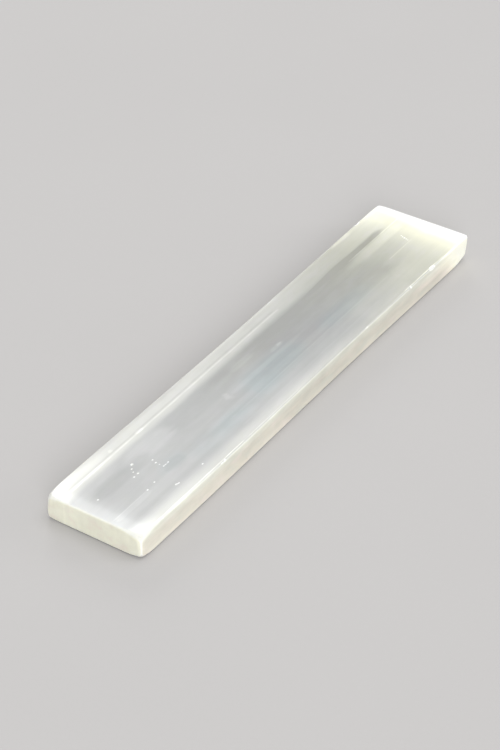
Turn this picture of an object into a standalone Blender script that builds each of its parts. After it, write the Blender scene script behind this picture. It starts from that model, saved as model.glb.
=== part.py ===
"""A polished selenite slab: one bar of satin spar, sawn across at both ends, ground flat and polished.

The stone is a single solid.  It lies on its broad lower face: the origin is the middle of that face,
+X runs along the fibres from the near end to the far end, +Y across the slab to its left side, and
+Z up.  The far end is the one at +X.  Metres throughout.
"""

import math

import bmesh
import bpy
from mathutils import Vector

# The slab: 8 by 1.5 by 3/8 inches.
LENGTH = 0.2032
WIDTH = 0.0381
THICKNESS = 0.0095

# Ground by hand, so the long sides aren't quite straight, and sawn by eye, so the ends aren't quite square.
LEFT_HOLLOW = 0.0006
RIGHT_HOLLOW = 0.0005
RIGHT_PROUDEST = 0.16
RIGHT_DEEPEST = 0.60
NEAR_END_SKEW = 0.0006
FAR_END_SKEW = 0.0005

# Every edge is eased with a rub of fine paper, the top ones a little more than those at the foot.
TOP_EASE = 0.0008
FOOT_EASE = 0.0005

# Soft stone, so the eight corners have worn rounder than the edges, each to its own radius.  A corner is
# (end, side, level): end -1 is near and 1 far, side -1 right and 1 left, level -1 the foot and 1 the top.
CORNER_RADII = {
    (-1, -1, 1): 0.0031,
    (-1, 1, 1): 0.0022,
    (1, -1, 1): 0.0010,
    (1, 1, 1): 0.0014,
    (-1, -1, -1): 0.0019,
    (-1, 1, -1): 0.0012,
    (1, -1, -1): 0.0029,
    (1, 1, -1): 0.0018,
}
# How far along its edges a worn corner reaches, in radii of the corner.
CORNER_SPREAD = 1.7

# Where the blank is divided, as distances in from each face: close together at the edges, to carry their
# rounding, and wide apart over the flats.
END_CUTS = (0.0002, 0.0005, 0.0009, 0.0015, 0.0024, 0.0036, 0.0052, 0.0075, 0.0110)
SIDE_CUTS = (0.0002, 0.0005, 0.0009, 0.0015, 0.0024, 0.0036, 0.0052, 0.0080, 0.0130)
FACE_CUTS = (0.0002, 0.0005, 0.0009, 0.0015, 0.0024, 0.0035)
BAYS = 14

# Small scoops flaked out of the long edges: distance from the near end, side, level, radius, depth.
EDGE_CHIPS = (
    (0.0215, 1, -1, 0.0034, 0.00055),
    (0.1343, -1, 1, 0.0018, 0.00032),
    (0.1470, 1, -1, 0.0036, 0.00060),
    (0.1625, -1, 1, 0.0030, 0.00050),
    (0.1780, -1, 1, 0.0024, 0.00042),
    (0.1870, 1, 1, 0.0020, 0.00036),
)
CHIP_RINGS = 12

STONE_COLOUR = (0.80, 0.80, 0.76, 1.0)


def clear_scene():
    for obj in list(bpy.data.objects):
        bpy.data.objects.remove(obj)


def new_collection(name):
    collection = bpy.data.collections.new(name)
    bpy.context.scene.collection.children.link(collection)
    return collection


def selenite():
    material = bpy.data.materials.new("selenite")
    material.use_nodes = True
    shader = material.node_tree.nodes["Principled BSDF"]
    shader.inputs["Base Color"].default_value = STONE_COLOUR
    shader.inputs["Roughness"].default_value = 0.2
    shader.inputs["Metallic"].default_value = 0.0
    shader.inputs["IOR"].default_value = 1.52
    return material


def corner_at(end, side, level):
    """The sharp corner of the blank before it wore."""
    return Vector((end * LENGTH / 2, side * WIDTH / 2, THICKNESS if level > 0 else 0.0))


def edge_radius(point):
    """How round the blank's edge is at a point on it: its easing, and more towards a worn corner."""
    ease = FOOT_EASE + (TOP_EASE - FOOT_EASE) * point.z / THICKNESS
    radius = ease
    for corner, worn in CORNER_RADII.items():
        near = (point - corner_at(*corner)).length / (worn * CORNER_SPREAD)
        radius += (worn - ease) * math.exp(-(near**2))
    return radius


def rounded(point):
    """Draw a point of the square blank in, onto a ball rolled along the inside of its edges."""
    radius = edge_radius(point)
    kept = Vector((
        max(-LENGTH / 2 + radius, min(LENGTH / 2 - radius, point.x)),
        max(-WIDTH / 2 + radius, min(WIDTH / 2 - radius, point.y)),
        max(radius, min(THICKNESS - radius, point.z)),
    ))
    return kept + (point - kept).normalized() * radius


def ground(point):
    """Set a point in or along by what the hand grinding and the saw left untrue."""
    along = point.x / LENGTH + 0.5
    leftness = max(2 * point.y / WIDTH, 0.0)
    rightness = max(-2 * point.y / WIDTH, 0.0)
    left_hollow = LEFT_HOLLOW * math.sin(math.pi * along) ** 2
    swing = (along - RIGHT_PROUDEST) / (RIGHT_DEEPEST - RIGHT_PROUDEST)
    right_hollow = RIGHT_HOLLOW * math.sin(math.pi * swing / 2) ** 2
    skew = (NEAR_END_SKEW * (1 - along) - FAR_END_SKEW * along) * (point.y / WIDTH + 0.5)
    across = point.y - left_hollow * leftness + right_hollow * rightness
    return Vector((point.x + skew, across, point.z))


def divide(bm, place, normal):
    everything = bm.verts[:] + bm.edges[:] + bm.faces[:]
    bmesh.ops.bisect_plane(bm, geom=everything, plane_co=place, plane_no=normal)


def slab_body():
    """The sawn blank, divided along its edges, then eased, worn and ground to its form."""
    bm = bmesh.new()
    bmesh.ops.create_cube(bm, size=1.0)
    bmesh.ops.scale(bm, vec=(LENGTH, WIDTH, THICKNESS), verts=bm.verts)
    bmesh.ops.translate(bm, vec=(0, 0, THICKNESS / 2), verts=bm.verts)
    for side in (-1, 1):
        for inset in END_CUTS:
            divide(bm, (side * (LENGTH / 2 - inset), 0, 0), (1, 0, 0))
        for inset in SIDE_CUTS:
            divide(bm, (0, side * (WIDTH / 2 - inset), 0), (0, 1, 0))
        for inset in FACE_CUTS:
            divide(bm, (0, 0, THICKNESS / 2 + side * (THICKNESS / 2 - inset)), (0, 0, 1))
    inner_length = LENGTH - 2 * END_CUTS[-1]
    for bay in range(1, BAYS):
        divide(bm, (inner_length * (bay / BAYS - 0.5), 0, 0), (1, 0, 0))
    for vert in bm.verts:
        vert.co = ground(rounded(vert.co))
    mesh = bpy.data.meshes.new("selenite_slab")
    bm.to_mesh(mesh)
    bm.free()
    mesh.materials.append(selenite())
    return bpy.data.objects.new("selenite_slab", mesh)


def ball_cutter(name, centre, radius, collection):
    bm = bmesh.new()
    bmesh.ops.create_uvsphere(bm, u_segments=2 * CHIP_RINGS, v_segments=CHIP_RINGS, radius=radius)
    mesh = bpy.data.meshes.new(name)
    bm.to_mesh(mesh)
    bm.free()
    cutter = bpy.data.objects.new(name, mesh)
    cutter.location = centre
    cutter.hide_render = True
    cutter.display_type = "WIRE"
    collection.objects.link(cutter)
    return cutter


def flake(slab, number, chip, collection):
    """Scoop one chip out of a long edge, its ball standing out from the edge at 45 degrees."""
    distance, side, level, radius, depth = chip
    edge = corner_at(0, side, level) + Vector((distance - LENGTH / 2, 0, 0))
    outward = Vector((0, side, level)).normalized()
    eased = TOP_EASE if level > 0 else FOOT_EASE
    worn_in = eased * (math.sqrt(2) - 1)
    centre = ground(edge) + outward * (radius - depth - worn_in)
    cut = slab.modifiers.new(f"chip {number}", "BOOLEAN")
    cut.operation = "DIFFERENCE"
    cut.solver = "EXACT"
    cut.object = ball_cutter(f"chip_{number}", centre, radius, collection)


def main():
    clear_scene()
    stone = new_collection("selenite slab")
    cutters = new_collection("cutters")
    slab = slab_body()
    stone.objects.link(slab)
    for number, chip in enumerate(EDGE_CHIPS, start=1):
        flake(slab, number, chip, cutters)


main()
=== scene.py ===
"""A polished slab of satin spar, lying on a pale studio floor."""

import math
import random

import bmesh
import bpy
from mathutils import Matrix, Vector


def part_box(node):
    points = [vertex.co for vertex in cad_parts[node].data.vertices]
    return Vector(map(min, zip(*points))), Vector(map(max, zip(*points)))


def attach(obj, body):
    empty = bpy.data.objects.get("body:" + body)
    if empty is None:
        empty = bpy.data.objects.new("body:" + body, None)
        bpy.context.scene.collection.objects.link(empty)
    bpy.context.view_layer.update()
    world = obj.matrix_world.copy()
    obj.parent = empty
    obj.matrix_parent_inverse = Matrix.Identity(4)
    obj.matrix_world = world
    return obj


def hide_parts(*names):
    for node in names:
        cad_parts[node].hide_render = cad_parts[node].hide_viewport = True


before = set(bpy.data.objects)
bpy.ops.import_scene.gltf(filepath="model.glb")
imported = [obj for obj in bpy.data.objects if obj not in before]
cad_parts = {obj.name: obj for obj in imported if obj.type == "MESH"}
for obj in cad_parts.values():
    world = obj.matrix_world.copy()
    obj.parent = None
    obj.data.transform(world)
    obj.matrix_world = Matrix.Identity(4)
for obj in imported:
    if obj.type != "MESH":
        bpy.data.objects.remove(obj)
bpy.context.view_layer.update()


# ---------------------------------------------------------------------------------------------------
# The slab.
# One bar of satin spar, the fibrous kind of selenite, with its fibres along its length.  It is sawn
# across at both ends, ground flat and polished by hand, so its long sides wander a little and its
# ends aren't quite square.  The stone is soft: edges are eased, corners worn round, and some chipped.

slab_low, slab_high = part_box("selenite_slab")
slab_size = slab_high - slab_low


def feed(tree, socket, value):
    """Set a node's socket, or link it where the value comes out of another node."""
    if isinstance(value, Strand):
        tree.links.new(value.socket, socket)
    elif socket.type == "VECTOR" and isinstance(value, (int, float)):
        socket.default_value = (value, value, value)
    else:
        socket.default_value = value


def add_node(tree, kind, *values, **settings):
    """A node with its settings made and its sockets fed in order.  None leaves one as it is."""
    node = tree.nodes.new(kind)
    for name, setting in settings.items():
        setattr(node, name, setting)
    for socket, value in zip(node.inputs, values):
        if value is not None:
            feed(tree, socket, value)
    return node


class Strand:
    """A value running through a node tree, written as plain sums."""

    def __init__(self, tree, socket):
        self.tree = tree
        self.socket = socket

    def worked(self, operation, *values):
        strands = [value for value in values if isinstance(value, Strand)]
        in_space = any(strand.socket.type in ("VECTOR", "RGBA") for strand in strands)
        in_space = in_space or any(isinstance(value, tuple) for value in values)
        kind = "ShaderNodeVectorMath" if in_space else "ShaderNodeMath"
        node = add_node(self.tree, kind, *values, operation=operation)
        is_number = not in_space or operation in ("DISTANCE", "LENGTH", "DOT_PRODUCT")
        return Strand(self.tree, node.outputs["Value" if is_number else "Vector"])

    def __add__(self, other):
        return self.worked("ADD", self, other)

    def __radd__(self, other):
        return self.worked("ADD", other, self)

    def __sub__(self, other):
        return self.worked("SUBTRACT", self, other)

    def __rsub__(self, other):
        return self.worked("SUBTRACT", other, self)

    def __mul__(self, other):
        return self.worked("MULTIPLY", self, other)

    def __rmul__(self, other):
        return self.worked("MULTIPLY", other, self)

    def __truediv__(self, other):
        return self.worked("DIVIDE", self, other)

    def __pow__(self, other):
        return self.worked("POWER", self, other)

    def __abs__(self):
        return self.worked("ABSOLUTE", self)

    def at_least(self, other):
        return self.worked("MAXIMUM", self, other)

    def at_most(self, other):
        return self.worked("MINIMUM", self, other)

    def clamped(self):
        """This, held between 0 and 1."""
        return self.at_least(0.0).at_most(1.0)

    def sine(self):
        return self.worked("SINE", self)

    def length(self):
        return self.worked("LENGTH", self)

    def direction(self):
        return self.worked("NORMALIZE", self)

    def bell(self):
        """1 where this is 0, falling off on both sides to almost nothing at 2."""
        return self.worked("EXPONENT", self * self * -1.0)

    def faded(self, start, stop):
        """Smoothly from 0 where this is start to 1 where it is stop."""
        node = add_node(
            self.tree, "ShaderNodeMapRange", self, start, stop, interpolation_type="SMOOTHSTEP"
        )
        return Strand(self.tree, node.outputs[0])

    def blended(self, other, amount):
        """This colour, turned into another by an amount from 0 to 1."""
        node = add_node(self.tree, "ShaderNodeMix", data_type="RGBA")
        for socket, value in zip((node.inputs[0], node.inputs[6], node.inputs[7]), (amount, self, other)):
            feed(self.tree, socket, value)
        return Strand(self.tree, node.outputs[2])

    def parts(self):
        node = add_node(self.tree, "ShaderNodeSeparateXYZ", self)
        return [Strand(self.tree, socket) for socket in node.outputs]


def joined(tree, x, y, z):
    return Strand(tree, add_node(tree, "ShaderNodeCombineXYZ", x, y, z).outputs[0])


def cloud(tree, place, detail=1.0, rough=0.5):
    """Soft noise with about one feature to each unit of place, from 0 to 1."""
    node = add_node(tree, "ShaderNodeTexNoise", place, None, 1.0, detail, rough)
    return Strand(tree, node.outputs["Fac"])


form = bpy.data.node_groups.new("ground slab", "GeometryNodeTree")
form_in = form.nodes.new("NodeGroupInput")
chosen = {}


def size(name, value, kind="NodeSocketFloat"):
    """A named input of the slab's tree, and what this slab has for it."""
    socket = form.interface.new_socket(name, in_out="INPUT", socket_type=kind)
    chosen[socket.identifier] = value
    return Strand(form, form_in.outputs[name])


def reshape(mesh, place=None, shift=None):
    """Move a mesh's points to a place, or by a shift."""
    node = add_node(form, "GeometryNodeSetPosition", mesh, True, place, shift)
    return Strand(form, node.outputs[0])


def made(node, output=0):
    return Strand(node.id_data, node.outputs[output])


# How far the long edges are eased, at the top and at the foot.
EDGE_EASE = {1: 0.0008, -1: 0.0005}

length = size("Length", slab_size.x)
width = size("Width", slab_size.y)
thickness = size("Thickness", slab_size.z)
crowding = size("Crowding At Edges", (0.82, 0.72, 0.70), "NodeSocketVector")
top_ease = size("Top Edge Ease", EDGE_EASE[1])
foot_ease = size("Foot Edge Ease", EDGE_EASE[-1])
corner_spread = size("Corner Wear Spread", 1.7)
left_hollow = size("Left Side Hollow", 0.0006)
right_hollow = size("Right Side Hollow", 0.0005)
right_proudest = size("Right Side Proudest At", 0.16)
right_deepest = size("Right Side Deepest At", 0.60)
near_skew = size("Near End Skew", 0.0006)
far_skew = size("Far End Skew", 0.0005)
ripple_depth = size("Polish Ripple Depth", 0.00005)
groove_depth = size("Fibre Groove Depth", 0.00001)

# The square blank, with its rows of points crowded towards the edges, which have to look round.
BLANK_ROWS = (190, 130, 30)
overall = joined(form, length, width, thickness)
blank = made(add_node(form, "GeometryNodeMeshCube", overall, *BLANK_ROWS))
place = made(form.nodes.new("GeometryNodeInputPosition"))
half = overall * 0.5
part_way = place / half
crowded = (part_way * (math.pi / 2)).sine() * crowding + part_way * (1.0 - crowding)
slab_shape = reshape(blank, crowded * half)

# Its edges are drawn in onto a ball rolled along inside them, a larger one at each worn corner.
# Corner: end, side, level, and radius.
WORN_CORNERS = {
    "Near Right Top": (-1, -1, 1, 0.0031),
    "Near Left Top": (-1, 1, 1, 0.0022),
    "Far Right Top": (1, -1, 1, 0.0010),
    "Far Left Top": (1, 1, 1, 0.0014),
    "Near Right Foot": (-1, -1, -1, 0.0019),
    "Near Left Foot": (-1, 1, -1, 0.0012),
    "Far Right Foot": (1, -1, -1, 0.0029),
    "Far Left Foot": (1, 1, -1, 0.0018),
}
x, y, z = place.parts()
ease = foot_ease + (top_ease - foot_ease) * (z / thickness + 0.5)
radius = ease
for corner, (end, side, level, worn) in WORN_CORNERS.items():
    worn_radius = size(f"{corner} Corner Radius", worn)
    from_corner = (place - half * (end, side, level)).length()
    nearness = (from_corner / (worn_radius * corner_spread)).bell()
    radius = radius + (worn_radius - ease) * nearness
rolled = joined(form, radius, radius, radius)
inner = half - rolled
kept = place.at_least(inner * -1.0).at_most(inner)
slab_shape = reshape(slab_shape, kept + (place - kept).direction() * rolled)

# What the saw and the hand grinding left untrue, and the slab stood on its lower face.
along = x / length + 0.5
across = y / width
bow = (along * math.pi).sine()
left_shift = left_hollow * bow * bow * (across * 2.0).at_least(0.0)
swing = ((along - right_proudest) / (right_deepest - right_proudest) * (math.pi / 2)).sine()
right_shift = right_hollow * swing * swing * (across * -2.0).at_least(0.0)
skew = (near_skew * (1.0 - along) - far_skew * along) * (across + 0.5)
slab_shape = reshape(
    slab_shape, shift=joined(form, skew, right_shift - left_shift, thickness * 0.5)
)

# The polish follows the fibres: broad soft ripples, and grooves where softer fibres wore away.
# How many there are to the metre, along the slab, across it and through it.
RIPPLES = (22.0, 70.0, 70.0)
GROOVES = (14.0, 900.0, 900.0)
outward = made(form.nodes.new("GeometryNodeInputNormal"))
ripple = cloud(form, place * RIPPLES)
groove = cloud(form, place * GROOVES, 2.0)
worn_away = ripple * ripple_depth + groove * groove_depth
slab_shape = reshape(slab_shape, shift=outward * worn_away * -1.0)

# Flakes knocked off the long edges: distance from the near end, side, level, scoop radius, depth.
EDGE_FLAKES = (
    (0.0215, 1, -1, 0.0034, 0.00055),
    (0.1343, -1, 1, 0.0018, 0.00032),
    (0.1470, 1, -1, 0.0036, 0.00060),
    (0.1625, -1, 1, 0.0030, 0.00050),
    (0.1780, -1, 1, 0.0024, 0.00042),
    (0.1870, 1, 1, 0.0020, 0.00036),
)
# Small pits bruised into the top: distances from the near end and the right side, and radius.
TOP_PITS = (
    (0.0075, 0.0225, 0.00028),
    (0.0280, 0.0240, 0.00046),
    (0.0261, 0.0227, 0.00026),
    (0.0251, 0.0213, 0.00022),
    (0.0232, 0.0196, 0.00028),
    (0.0254, 0.0197, 0.00034),
    (0.0336, 0.0198, 0.00024),
    (0.0331, 0.0181, 0.00034),
    (0.0330, 0.0166, 0.00020),
    (0.0331, 0.0150, 0.00026),
    (0.0343, 0.0149, 0.00020),
    (0.0356, 0.0150, 0.00024),
    (0.0203, 0.0122, 0.00030),
    (0.0247, 0.0127, 0.00024),
    (0.0276, 0.0062, 0.00032),
    (0.0288, 0.0059, 0.00020),
    (0.0410, 0.0051, 0.00032),
    (0.1881, 0.0166, 0.00018),
    (0.1884, 0.0174, 0.00024),
    (0.1886, 0.0183, 0.00028),
    (0.1888, 0.0192, 0.00024),
    (0.1893, 0.0201, 0.00018),
)
# How far a pit's ball stands above the face it bruises, in its own radii.
PIT_LIFT = 0.55
# Small nicks along the long edges, clear of the corners.  Their depths are shares of their radii.
SMALL_NICKS = 34
NICK_RADII = (0.0003, 0.0007)
NICK_DEPTHS = (0.10, 0.28)
NICK_SEED = 11
CORNER_CLEAR = 0.006

nick_form = bmesh.new()
nick_radius = nick_form.verts.layers.float.new("radius")


def nick_edge(distance, side, level, ball, depth):
    """Set a scoop's ball against a long edge, so that it cuts to a depth below the eased edge."""
    eased_away = EDGE_EASE[level] * (math.sqrt(2) - 1)
    out = (ball - depth - eased_away) * math.sqrt(0.5)
    foot_or_top = slab_size.z if level > 0 else 0.0
    spot = nick_form.verts.new((
        distance - slab_size.x / 2,
        side * (slab_size.y / 2 + out),
        foot_or_top + level * out,
    ))
    spot[nick_radius] = ball


for flake in EDGE_FLAKES:
    nick_edge(*flake)
chance = random.Random(NICK_SEED)
for nick in range(SMALL_NICKS):
    ball = chance.uniform(*NICK_RADII)
    nick_edge(
        chance.uniform(CORNER_CLEAR, slab_size.x - CORNER_CLEAR),
        chance.choice((-1, -1, 1)),
        chance.choice((1, 1, -1)),
        ball,
        ball * chance.uniform(*NICK_DEPTHS),
    )
for distance, inward, ball in TOP_PITS:
    spot = nick_form.verts.new((
        distance - slab_size.x / 2,
        inward - slab_size.y / 2,
        slab_size.z + ball * PIT_LIFT,
    ))
    spot[nick_radius] = ball
nick_mesh = bpy.data.meshes.new("nicks")
nick_form.to_mesh(nick_mesh)
nick_form.free()
nicks = bpy.data.objects.new("nicks", nick_mesh)
bpy.context.scene.collection.objects.link(nicks)

# Each nick splinters along the fibres, so it is longer than it is wide, and rough inside.
splinter = size("Nick Stretch Along Fibres", 1.25)
nick_lumps = size("Nick Roughness", 0.22)
nicks_in = size("Nicks", nicks, "NodeSocketObject")
spots = made(add_node(form, "GeometryNodeObjectInfo", nicks_in), "Geometry")
ball_size = made(add_node(form, "GeometryNodeInputNamedAttribute", "radius", data_type="FLOAT"))
ball_shape = made(add_node(form, "GeometryNodeMeshIcoSphere", 1.0, 3))
lumps = cloud(form, place * 2.3, 3.0) - 0.5
ball_shape = reshape(ball_shape, shift=outward * lumps * nick_lumps)
scattered = add_node(form, "GeometryNodeInstanceOnPoints", spots)
feed(form, scattered.inputs["Instance"], ball_shape)
feed(form, scattered.inputs["Scale"], joined(form, ball_size * splinter, ball_size, ball_size))
scoops = made(add_node(form, "GeometryNodeRealizeInstances", made(scattered)))
nicked = add_node(
    form, "GeometryNodeMeshBoolean", slab_shape, scoops, operation="DIFFERENCE", solver="MANIFOLD"
)
slab_shape = made(add_node(form, "GeometryNodeTriangulate", made(nicked), True, 5))

# The stone is crushed white in and round each nick.  Its material reads how far each point is from
# the nearest one, in millimetres, as "from nick".  It reaches a little further than the scoop, by a
# share of the scoop's radius.
CRUSHED_REACH = 1.06
MM = 1000.0
squashed = place / joined(form, splinter, 1.0, 1.0)
near_spots = reshape(spots, squashed)
nearest = add_node(form, "GeometryNodeProximity", near_spots, target_element="POINTS")
feed(form, nearest.inputs["Sample Position"], squashed)
which = add_node(form, "GeometryNodeSampleNearest", near_spots)
feed(form, which.inputs["Sample Position"], squashed)
nearest_ball = add_node(form, "GeometryNodeSampleIndex", near_spots, ball_size, data_type="FLOAT")
feed(form, nearest_ball.inputs["Index"], made(which))
from_nick = (made(nearest, "Distance") - made(nearest_ball) * CRUSHED_REACH) * MM
marked = add_node(form, "GeometryNodeStoreNamedAttribute", slab_shape, data_type="FLOAT")
marked.inputs["Name"].default_value = "from nick"
feed(form, marked.inputs["Value"], from_nick)

spar = bpy.data.materials.new("satin spar")
spar_in = size("Stone", spar, "NodeSocketMaterial")
slab_shape = made(add_node(form, "GeometryNodeRealizeInstances", made(marked)))
slab_shape = made(add_node(form, "GeometryNodeSetShadeSmooth", slab_shape, True, True))
slab_shape = made(add_node(form, "GeometryNodeSetMaterial", slab_shape, True, spar_in))
form.interface.new_socket("Slab", in_out="OUTPUT", socket_type="NodeSocketGeometry")
add_node(form, "NodeGroupOutput", slab_shape)

bench = bpy.data.objects.new("bench", bpy.data.meshes.new("bench"))
bpy.context.scene.collection.objects.link(bench)
grinding = bench.modifiers.new("ground slab", "NODES")
grinding.node_group = form
for identifier, value in chosen.items():
    grinding[identifier] = value
ground = bench.evaluated_get(bpy.context.evaluated_depsgraph_get())
slab_mesh = bpy.data.meshes.new_from_object(ground)
bpy.data.objects.remove(bench)
bpy.data.objects.remove(nicks)
slab_mesh.attributes.remove(slab_mesh.attributes["radius"])
SHARPEST_SMOOTH = math.radians(35)
slab_mesh.set_sharp_from_angle(angle=SHARPEST_SMOOTH)
slab = bpy.data.objects.new("satin_spar_slab", slab_mesh)
bpy.context.scene.collection.objects.link(slab)

# Satin spar: clear stone that the gaps between its fibres turn milky, least in the middle of the
# slab and most where it meets its sides and ends.  The bright frame along the sides and ends of the
# top is painted reflection of the slab's own walls seen inside the clear stone, and the edges carry
# painted highlights, all added into the milkiness.  Lengths are in millimetres, from the near end
# and from the right side, and milkiness runs from 0 for the clearest stone to 1 for white.
spar.use_nodes = True
look = spar.node_tree
gloss = look.nodes["Principled BSDF"]
placing = look.nodes.new("ShaderNodeTexCoord")
place = made(placing, "Object") * MM
facing = made(placing, "Normal")
x, y, z = place.parts()
nx, ny, nz = (abs(part) for part in facing.parts())
SLAB_LONG = slab_size.x * MM
SLAB_WIDE = slab_size.y * MM
from_near = x + SLAB_LONG / 2
from_right = y + SLAB_WIDE / 2


def grain(long, wide, seed, detail=2.0):
    """Noise drawn out along the fibres: features this long and this wide, swinging about 0."""
    stretched = place / (long, wide, wide) + (seed * 7.3, seed * 3.1, seed * 5.7)
    return cloud(look, stretched, detail, 0.55) * 2.0 - 1.0


# The zones wander a little along the fibres, so nothing in the stone is quite straight.
drift = grain(45.0, 9.0, 1)
feather = grain(9.0, 1.6, 2, 3.0)
fraying = from_near.faded(192.0, 170.0).at_most(from_near.faded(2.0, 26.0)) * 0.7 + 0.3
u = from_near + (grain(14.0, 4.0, 3) * 2.0 + grain(30.0, 1.3, 13) * 1.3) * fraying
v = from_right + drift * 0.8 + feather * 0.35

# How milky the middle is from end to end: the near third, the clear heart, then the far end.  The
# rise at both ends is partly painted light: the end walls reflected inside the clear stone, and the
# far end's glow.  The curve also evens out how the lamps light the slab from end to end.
MILK_AND_END_LIGHT_ALONG = (
    (0.00, 0.66), (0.020, 0.58), (0.036, 0.41), (0.06, 0.34), (0.16, 0.34), (0.22, 0.32),
    (0.32, 0.28), (0.40, 0.23), (0.52, 0.09), (0.60, 0.06), (0.72, 0.09), (0.80, 0.14),
    (0.85, 0.27), (0.90, 0.43), (0.93, 0.59), (0.965, 0.84), (1.00, 0.92),
)
milk_and_end_light_along = look.nodes.new("ShaderNodeFloatCurve")
profile = milk_and_end_light_along.mapping.curves[0]
profile.points[0].location = MILK_AND_END_LIGHT_ALONG[0]
profile.points[1].location = MILK_AND_END_LIGHT_ALONG[-1]
for point in MILK_AND_END_LIGHT_ALONG[1:-1]:
    profile.points.new(*point)
milk_and_end_light_along.mapping.update()
feed(look, milk_and_end_light_along.inputs["Value"], (u / SLAB_LONG).clamped())
milk_and_painted_light = made(milk_and_end_light_along)

# The border along the left side, a painted reflection of the left wall seen inside the clear stone
# and brightest towards the near end, then the lane along the right, and a painted glow of light
# along the right edge.
left_border_painted_reflection = v.faded(28.3, 31.4)
milk_and_painted_light = milk_and_painted_light + left_border_painted_reflection * (from_near.faded(176.0, 118.0) * 0.24 + 0.06)
milk_and_painted_light = milk_and_painted_light + v.faded(31.5, 35.0) * (0.04 + from_near.faded(36.0, 6.0) * 0.20)
milk_and_painted_light = milk_and_painted_light + v.faded(35.4, 36.6) * from_near.faded(78.0, 96.0) * 0.07
left_rim = v.faded(35.0, 37.0) * from_near.faded(6.0, 20.0) * from_near.faded(84.0, 60.0)
milk_and_painted_light = milk_and_painted_light - left_rim * 0.12
right_lane = v.faded(13.6, 8.2) * from_near.faded(60.0, 96.0) * from_near.faded(186.0, 166.0)
milk_and_painted_light = milk_and_painted_light + right_lane * 0.16
# Painted glow of light along the right edge, brightening towards its highlight.
right_edge_painted_glow = from_near.faded(136.0, 112.0) * 0.14 + from_near.faded(96.0, 14.0) * 0.19
right_edge_painted_glow = right_edge_painted_glow + from_near.faded(172.0, 158.0) * from_near.faded(46.0, 62.0) * 0.10
milk_and_painted_light = milk_and_painted_light + v.faded(6.8, 2.0) * right_edge_painted_glow


def off_patch(start, end, coming, going, side_on, half_wide):
    """How far off the middle line of a long patch a point is: 0 on it, and 1 at its outline."""
    past_ends = ((u - start) / -coming).at_least((u - end) / going).at_least(0.0)
    return joined(look, past_ends, (v - side_on) / half_wide, 0.0).length()


# Veils, wisps and clear seams inside the stone, each drawn out along the fibres: where it starts
# and ends, how slowly it comes and goes, distance from the right side, half its width, how crisp
# its outline is, and how much milkier it is.
VEILS = (
    (36.0, 43.0, 10.0, 9.0, 24.8, 4.0, 0.50, 0.08),
    (14.0, 30.0, 8.0, 6.0, 23.0, 3.0, 0.35, -0.09),
    (6.0, 16.0, 5.0, 10.0, 28.0, 1.8, 0.20, 0.05),
    (2.0, 44.0, 6.0, 16.0, 9.8, 2.6, 0.30, 0.06),
    (4.0, 18.0, 2.0, 3.0, 11.2, 1.0, 0.60, 0.06),
    (58.0, 78.0, 9.0, 12.0, 25.0, 4.4, 0.60, -0.06),
    (75.0, 75.2, 1.4, 1.4, 18.5, 2.6, 0.30, 0.08),
    (106.0, 109.5, 2.2, 1.6, 20.6, 1.0, 0.20, 0.08),
    (108.6, 109.4, 0.8, 0.8, 20.9, 0.6, 0.20, 0.12),
    (90.0, 97.0, 3.0, 3.0, 25.5, 1.4, 0.40, 0.05),
    (92.0, 158.0, 22.0, 12.0, 27.0, 2.3, 0.30, -0.06),
    (112.0, 150.0, 14.0, 12.0, 23.4, 2.6, 0.30, -0.04),
    (34.0, 38.0, 3.0, 3.0, 13.2, 2.6, 0.40, -0.05),
    (150.0, 160.0, 12.0, 8.0, 8.0, 8.0, 0.50, 0.05),
    (66.0, 138.0, 14.0, 12.0, 13.2, 1.5, 0.20, 0.08),
    (58.0, 70.0, 8.0, 8.0, 8.0, 2.4, 0.30, 0.08),
    (34.0, 84.0, 8.0, 14.0, 34.0, 4.5, 0.50, -0.05),
    (84.0, 108.0, 10.0, 12.0, 18.0, 1.3, 0.20, 0.08),
    (174.0, 190.0, 12.0, 6.0, 24.6, 2.1, 0.45, 0.09),
    (166.0, 183.0, 26.0, 6.0, 28.1, 1.45, 0.40, -0.32),
    (158.0, 181.0, 14.0, 6.0, 19.4, 3.2, 0.60, -0.03),
    (176.0, 192.0, 9.0, 6.0, 7.6, 8.0, 0.75, 0.04),
    (0.0, 4.0, 6.0, 8.0, 1.6, 3.4, 0.20, 0.10),
    (9.0, 20.0, 4.0, 5.0, 32.0, 1.0, 0.20, 0.14),
    (43.4, 44.6, 1.6, 1.6, 32.3, 0.8, 0.20, 0.16),
    (29.6, 30.2, 0.7, 0.7, 33.8, 0.8, 0.20, 0.12),
    (172.0, 177.0, 4.0, 5.0, 36.8, 0.8, 0.20, 0.14),
)
VEIL_REACH = 1.25
for start, end, coming, going, side_on, half_wide, crisp, milkier in VEILS:
    apart = off_patch(start, end, coming, going, side_on, half_wide)
    milk_and_painted_light = milk_and_painted_light + apart.faded(VEIL_REACH, VEIL_REACH * crisp) * milkier

# Single bright fibres, and dark seams beside them, and a painted highlight along the right top edge:
# start, end, distance from the right side, half its width, and how much milkier it is.
FIBRES_AND_EDGE_HIGHLIGHTS = (
    (-5.0, 126.0, 32.1, 0.40, 0.17),
    (-5.0, 124.0, 33.0, 0.36, -0.10),
    (2.0, 19.6, 12.25, 0.24, 0.13),
    (164.0, 198.0, 27.0, 0.24, 0.26),
    (174.0, 189.0, 15.8, 0.24, 0.12),
    (66.0, 165.0, 10.8, 0.25, 0.05),
    (66.0, 150.0, 5.6, 0.30, 0.03),
    # These four rows, 0.8 mm from the right side, are a painted highlight along the eased right top edge.
    (-5.0, 58.0, 0.80, 0.20, 0.26),
    (62.0, 121.0, 0.80, 0.16, 0.14),
    (126.0, 186.0, 0.80, 0.16, 0.20),
    (160.5, 181.0, 0.85, 0.34, 0.24),
)
fibre_wander = drift * 0.25 + feather * 0.08
fibre_breaks = grain(4.0, 3.0, 16, 3.0) * 0.9 + 1.0
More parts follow.
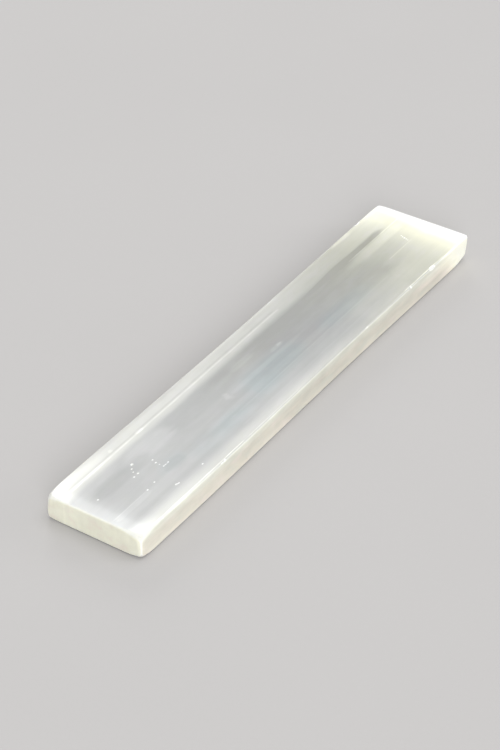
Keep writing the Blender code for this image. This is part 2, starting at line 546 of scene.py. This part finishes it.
for start, end, side_on, half_wide, milkier in FIBRES_AND_EDGE_HIGHLIGHTS:
    fibre = ((from_right + fibre_wander - side_on) / half_wide).bell()
    fibre = fibre * from_near.faded(start - 1.5, start + 1.5) * from_near.faded(end + 1.2, end - 1.2)
    milk_and_painted_light = milk_and_painted_light + fibre * fibre_breaks * milkier

# Silk that runs all through the stone: broad lanes, streaks, hair-fine fibres and soft clouds.
lanes = grain(70.0, 2.6, 5)
streaks = grain(26.0, 0.55, 6, 3.0)
hairs = grain(9.0, 0.12, 7, 2.0)
clouds = grain(16.0, 5.0, 8, 3.0)
mottle = grain(6.0, 2.4, 14, 3.0)
milk_and_painted_light = milk_and_painted_light + lanes * 0.025 + streaks * 0.02 + hairs * 0.03 + clouds * 0.06 + mottle * 0.035

# The sides: seen edge on, the fibres hide the clear heart, and the stone is milky and mottled, more
# so towards the top and the foot.  The white towards the far end is painted light.
on_face = nz.faded(0.78, 0.96)
on_end = nx.faded(0.45, 0.80)
# Painted light, rising towards the far corner of the sides.
far_corner_painted_light = (from_near + (z.at_most(6.5) - 5.5) * 0.8).faded(178.0, 199.0)
far_shoulder = ((from_near - 177.0) / 8.0).bell() * z.faded(3.0, 5.0) * z.faded(8.4, 7.0)
side_milk_and_painted_light = 0.32 + from_near.faded(98.0, 30.0) * 0.20 + from_near.faded(20.0, 0.0) * 0.05
side_milk_and_painted_light = side_milk_and_painted_light + z.faded(5.4, 9.0) * 0.09 + z.faded(3.4, 0.8) * 0.11
side_milk_and_painted_light = side_milk_and_painted_light + far_shoulder * 0.24 + far_corner_painted_light * 0.80
side_milk_and_painted_light = side_milk_and_painted_light + ((from_near - 76.0) / 12.0).bell() * 0.10
side_milk_and_painted_light = side_milk_and_painted_light + lanes * 0.05 + streaks * 0.09 + hairs * 0.09 + mottle * 0.20 + clouds * 0.09

# The ends: the fibres are cut across, so their tips show as a fine sugary grain, in soft upright
# bands left by the grinding.
tips = grain(0.35, 0.35, 9, 3.0)
bands = cloud(look, place / (8.0, 2.8, 14.0) + (3.0, 1.0, 7.0), 3.0) * 2.0 - 1.0
patches = grain(4.0, 4.0, 10, 2.0)
end_milk = 0.71 + tips * 0.06 + bands * 0.11 + patches * 0.13
# Single marks of the saw up the near end: distance from the right side, half its width, how milky.
SAW_MARKS = ((30.9, 0.5, 0.06), (28.2, 1.4, 0.07), (24.0, 1.5, -0.05), (18.6, 1.4, -0.03))
for side_on, half_wide, milkier in SAW_MARKS:
    end_milk = end_milk + ((from_right - side_on) / half_wide).bell() * milkier
edge_milk_and_painted_light = side_milk_and_painted_light + (end_milk - side_milk_and_painted_light) * on_end
milk_and_painted_light = edge_milk_and_painted_light + (milk_and_painted_light - edge_milk_and_painted_light) * on_face

# Painted highlights along the eased edges and up the upright corner edges, painted shade on the
# eased top edges where they catch the lamps, and the stone crushed white in its nicks.
crest_painted_highlight = ((nz - 0.90) / 0.06).bell()
upright_edge_painted_highlight = ((nx - ny) / 0.22).bell() * nz.faded(0.6, 0.2)
from_nick = made(add_node(look, "ShaderNodeAttribute", attribute_name="from nick"), "Fac")
crushed = grain(0.5, 0.3, 15, 3.0).faded(-0.35, 0.15) * 0.7 + 0.3
bruise = from_nick.faded(0.16, 0.02) * crushed
# Painted shade on the eased top edges, most along the right, toning down where they catch the lamps.
eased_edge_painted_shade = ((nz - 0.78) / 0.16).bell() * from_near.faded(16.0, 56.0) * from_near.faded(190.0, 176.0)
eased_edge_painted_shade = eased_edge_painted_shade * (from_right.faded(30.0, 8.0) * 0.34 + 0.06)
milk_and_painted_light = milk_and_painted_light + crest_painted_highlight * 0.02 - eased_edge_painted_shade + upright_edge_painted_highlight * 0.24 + bruise * 0.45
milk_and_painted_light = milk_and_painted_light.clamped()

# Colour: neutral near, blue-green in the clear heart, cream at the borders and the far end, and a
# painted glow, then painted white, of light at the very far end.
NEUTRAL = (1.0, 1.01, 1.0, 1.0)
WARM = (1.0, 1.012, 0.965, 1.0)
HEART = (0.935, 1.013, 1.025, 1.0)
BORDER = (1.0, 1.005, 0.95, 1.0)
CREAM = (1.006, 1.01, 0.865, 1.0)
SIDE_CREAM = (1.0, 0.962, 0.838, 1.0)
SIDE_SHADE = (0.99, 0.998, 0.885, 1.0)
FAR_CREAM = (1.035, 1.02, 0.84, 1.0)
FAR_PAINTED_GLOW = (1.0, 0.995, 0.83, 1.0)
END_CREAM = (0.995, 0.99, 0.845, 1.0)
END_BLUSH = (1.012, 0.95, 0.835, 1.0)
BLUSH = (1.01, 0.925, 0.84, 1.0)
LILAC = (1.01, 0.985, 1.0, 1.0)
# Where the heart is bluest: start, end, how slowly it goes, middle, half its width, and how blue.
BLUE_PATCHES = (
    (88.0, 106.0, 8.0, 15.2, 5.6, 0.95),
    (66.0, 86.0, 10.0, 10.5, 3.2, 0.4),
    (133.0, 150.0, 8.0, 13.6, 3.6, 0.85),
    (34.0, 38.0, 5.0, 13.6, 3.0, 0.45),
    (50.0, 66.0, 8.0, 10.0, 4.0, 0.4),
    (164.0, 180.0, 10.0, 19.5, 3.2, 0.4),
)
blueness = clouds * 0.2 + mottle * 0.15
for start, end, going, side_on, half_wide, depth in BLUE_PATCHES:
    apart = off_patch(start, end, going, going, side_on, half_wide)
    blueness = blueness + apart.faded(1.5, 0.3) * depth
blueness = blueness.clamped()
# The borders' tint follows the painted reflection along the left side and the painted glow along the
# right edge.
painted_border_tinting = left_border_painted_reflection.at_least(v.faded(6.0, 1.0)) * 0.8
far_edge = from_near - (v - 15.0).at_least(0.0) * 0.16
creaminess = from_near.faded(120.0, 186.0) * 0.9 + clouds * 0.15
creaminess = creaminess.clamped()
# Painted glow and then painted white of light along the far end of the top.
far_end_painted_glow = far_edge.faded(184.0, 193.0) * far_edge.faded(198.0, 195.0)
far_end_painted_white = far_edge.faded(194.0, 198.0)
pinkness = mottle * 1.4 + grain(12.0, 4.0, 12) * 1.4
blushing = pinkness.clamped()
end_blushing = (patches * -2.2 - 0.15).clamped()
greying = (pinkness * -1.0 - 0.15).at_least(z.faded(5.0, 8.6)).clamped()


def tint_of(colour):
    source = look.nodes.new("ShaderNodeRGB")
    source.outputs[0].default_value = colour
    return made(source)


warming = v.faded(19.0, 25.0) * from_near.faded(60.0, 100.0) * 0.8
face_tint = tint_of(NEUTRAL).blended(WARM, warming).blended(HEART, blueness)
face_tint = face_tint.blended(BORDER, painted_border_tinting)
face_tint = face_tint.blended(CREAM, creaminess).blended(LILAC, (mottle * 0.8).at_least(0.0))
face_tint = face_tint.blended(FAR_PAINTED_GLOW, far_end_painted_glow).blended(NEUTRAL, far_end_painted_white)
side_tint = tint_of(SIDE_CREAM).blended(BLUSH, blushing).blended(SIDE_SHADE, greying)
# The far corner's painted light is tinted cream.
side_tint = side_tint.blended(FAR_CREAM, far_corner_painted_light)
end_tint = tint_of(END_CREAM).blended(END_BLUSH, end_blushing)
side_tint = side_tint.blended(end_tint, on_end)
tint = side_tint.blended(face_tint, on_face)
# The eased edges and upright corner edges are tinted neutral, so their painted highlights and the lamps'
# highlights read white; the crushed white of the nicks is tinted with them.
tint = tint.blended(NEUTRAL, (1.0 - on_face) * nz.faded(0.15, 0.55) * 0.6)
tint = tint.blended(NEUTRAL, upright_edge_painted_highlight.at_least(bruise) * 0.7)

# Clearer stone sends back less of the light, and lets more of it straight through.
CLEAREST = 0.73
WHITEST = 0.96
DISPLAY_CURVE = 2.2
MOST_SEE_THROUGH = 0.30
paleness = (milk_and_painted_light * (1.0 - CLEAREST) + CLEAREST) ** DISPLAY_CURVE
feed(look, gloss.inputs["Base Color"], tint * paleness * WHITEST)
feed(look, gloss.inputs["Transmission Weight"], (1.0 - milk_and_painted_light) * on_face * MOST_SEE_THROUGH)

# Polished along the top, duller on the ground sides, and matt on the sawn ends and in nicks.
dullness = 0.34 - on_face * 0.20 + on_end * 0.12 + bruise * 0.2 + streaks * 0.03 + tips * on_end * 0.06
feed(look, gloss.inputs["Roughness"], dullness.at_least(0.05))


def give_relief(tree, finish, height, strength, depth):
    """Fine relief in a finish, from its height, how strongly it shows, and its depth in metres."""
    bump = add_node(tree, "ShaderNodeBump")
    bump.inputs["Strength"].default_value = strength
    bump.inputs["Distance"].default_value = depth
    feed(tree, bump.inputs["Height"], height)
    feed(tree, finish.inputs["Normal"], made(bump, "Normal"))


# Fine relief: fibres under the polish, and tips and saw lines on the ends.
saw_lines = (cloud(look, place / (3.0, 60.0, 0.45), 2.0) - 0.5) * on_end
relief = hairs * 0.35 + streaks * 0.4 + tips * on_end * 0.8 + saw_lines * 1.2
give_relief(look, gloss, relief, 0.35, 0.00003)

gloss.inputs["IOR"].default_value = 1.52
gloss.inputs["Subsurface Weight"].default_value = 1.0
gloss.inputs["Subsurface Radius"].default_value = (1.0, 0.97, 0.9)
gloss.inputs["Subsurface Scale"].default_value = 0.0009
absorbing = look.nodes.new("ShaderNodeVolumeAbsorption")
absorbing.inputs["Color"].default_value = (0.93, 0.96, 0.90, 1)
absorbing.inputs["Density"].default_value = 8.0
look.links.new(absorbing.outputs["Volume"], look.nodes["Material Output"].inputs["Volume"])

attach(slab, "root")
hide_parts("selenite_slab")


# ---------------------------------------------------------------------------------------------------
# The floor.
# A sheet of pale grey paper with a soft tooth, laid flat and wide enough to run out of sight.

PAPER_WIDE = 12.0
PAPER_DROP = 0.0002
PAPER_GREY = (0.47, 0.46, 0.455, 1.0)
floor_form = bmesh.new()
bmesh.ops.create_grid(floor_form, x_segments=1, y_segments=1, size=PAPER_WIDE / 2)
bmesh.ops.translate(floor_form, vec=(0, 0, -PAPER_DROP), verts=floor_form.verts)
floor_mesh = bpy.data.meshes.new("floor")
floor_form.to_mesh(floor_mesh)
floor_form.free()
floor = bpy.data.objects.new("floor", floor_mesh)
bpy.context.scene.collection.objects.link(floor)

paper = bpy.data.materials.new("pale paper")
paper.use_nodes = True
sheet = paper.node_tree
paper_finish = sheet.nodes["Principled BSDF"]
paper_place = made(sheet.nodes.new("ShaderNodeTexCoord"), "Object")
pulp = cloud(sheet, paper_place * 9.0, 3.0) * 2.0 - 1.0
tooth = cloud(sheet, paper_place * 700.0, 2.0)
paper_colour = Strand(sheet, add_node(sheet, "ShaderNodeRGB").outputs[0])
paper_colour.socket.default_value = PAPER_GREY
feed(sheet, paper_finish.inputs["Base Color"], paper_colour * (1.0 + pulp * 0.02 + tooth * 0.02))
feed(sheet, paper_finish.inputs["Roughness"], tooth * 0.1 + 0.85)
give_relief(sheet, paper_finish, tooth, 0.15, 0.0002)
floor_mesh.materials.append(paper)


# ---------------------------------------------------------------------------------------------------
# The lights.
# Four soft lamps in a bright white room: overhead, at the near right corner, behind, and low beside the
# far end.  They stand so far off that they light the whole floor evenly.


def soft_lamp(name, towards, spread, strength, mirrored=True):
    """A lamp far off in one direction, which looks this many degrees wide from the slab."""
    light = bpy.data.lights.new(name, "SUN")
    light.angle = math.radians(spread)
    light.energy = strength
    lamp = bpy.data.objects.new(name, light)
    lamp.location = towards
    lamp.rotation_euler = (-Vector(towards)).to_track_quat("-Z", "Y").to_euler()
    lamp.visible_glossy = mirrored
    bpy.context.scene.collection.objects.link(lamp)


soft_lamp("overhead lamp", (0.25, -0.1, 0.9), 50.0, 1.02)
soft_lamp("key lamp", (-1.35, -1.125, 0.825), 30.0, 1.58, mirrored=False)
soft_lamp("back lamp", (1.05, 0.9, 0.525), 24.0, 0.66, mirrored=False)
soft_lamp("side lamp", (0.42, -0.55, 0.16), 28.0, 0.56, mirrored=False)
room = bpy.data.worlds.new("white room")
room.use_nodes = True
walls = room.node_tree.nodes["Background"]
walls.inputs["Color"].default_value = (1, 1, 1, 1)
walls.inputs["Strength"].default_value = 0.66
bpy.context.scene.world = room
bpy.context.scene.view_settings.view_transform = "Standard"


# ---------------------------------------------------------------------------------------------------
# The camera.
# It looks along the slab from its near right corner, from well above.

HEADING = math.radians(33.469)
ELEVATION = math.radians(36.755)
DISTANCE = 0.92416
LENS = 129.82
FRAME_PIXELS = 750
OFF_CENTRE = (20.1, 7.3)
flat_reach = math.cos(ELEVATION)
back = Vector((
    -math.cos(HEADING) * flat_reach,
    -math.sin(HEADING) * flat_reach,
    math.sin(ELEVATION),
))
camera_data = bpy.data.cameras.new("camera")
camera_data.lens = LENS
camera_data.clip_start = 0.05
camera = bpy.data.objects.new("camera", camera_data)
centre = Vector((0, 0, slab_size.z / 2))
focal_pixels = LENS / camera_data.sensor_width * FRAME_PIXELS
yaw = math.atan(OFF_CENTRE[0] / focal_pixels)
pitch = math.atan(OFF_CENTRE[1] / focal_pixels)
aimed = (-back).to_track_quat("-Z", "Y").to_matrix().to_4x4()
nudge = Matrix.Rotation(yaw, 4, "Y") @ Matrix.Rotation(-pitch, 4, "X")
camera.matrix_world = Matrix.Translation(centre + back * DISTANCE) @ aimed @ nudge
bpy.context.scene.collection.objects.link(camera)
bpy.context.scene.camera = camera
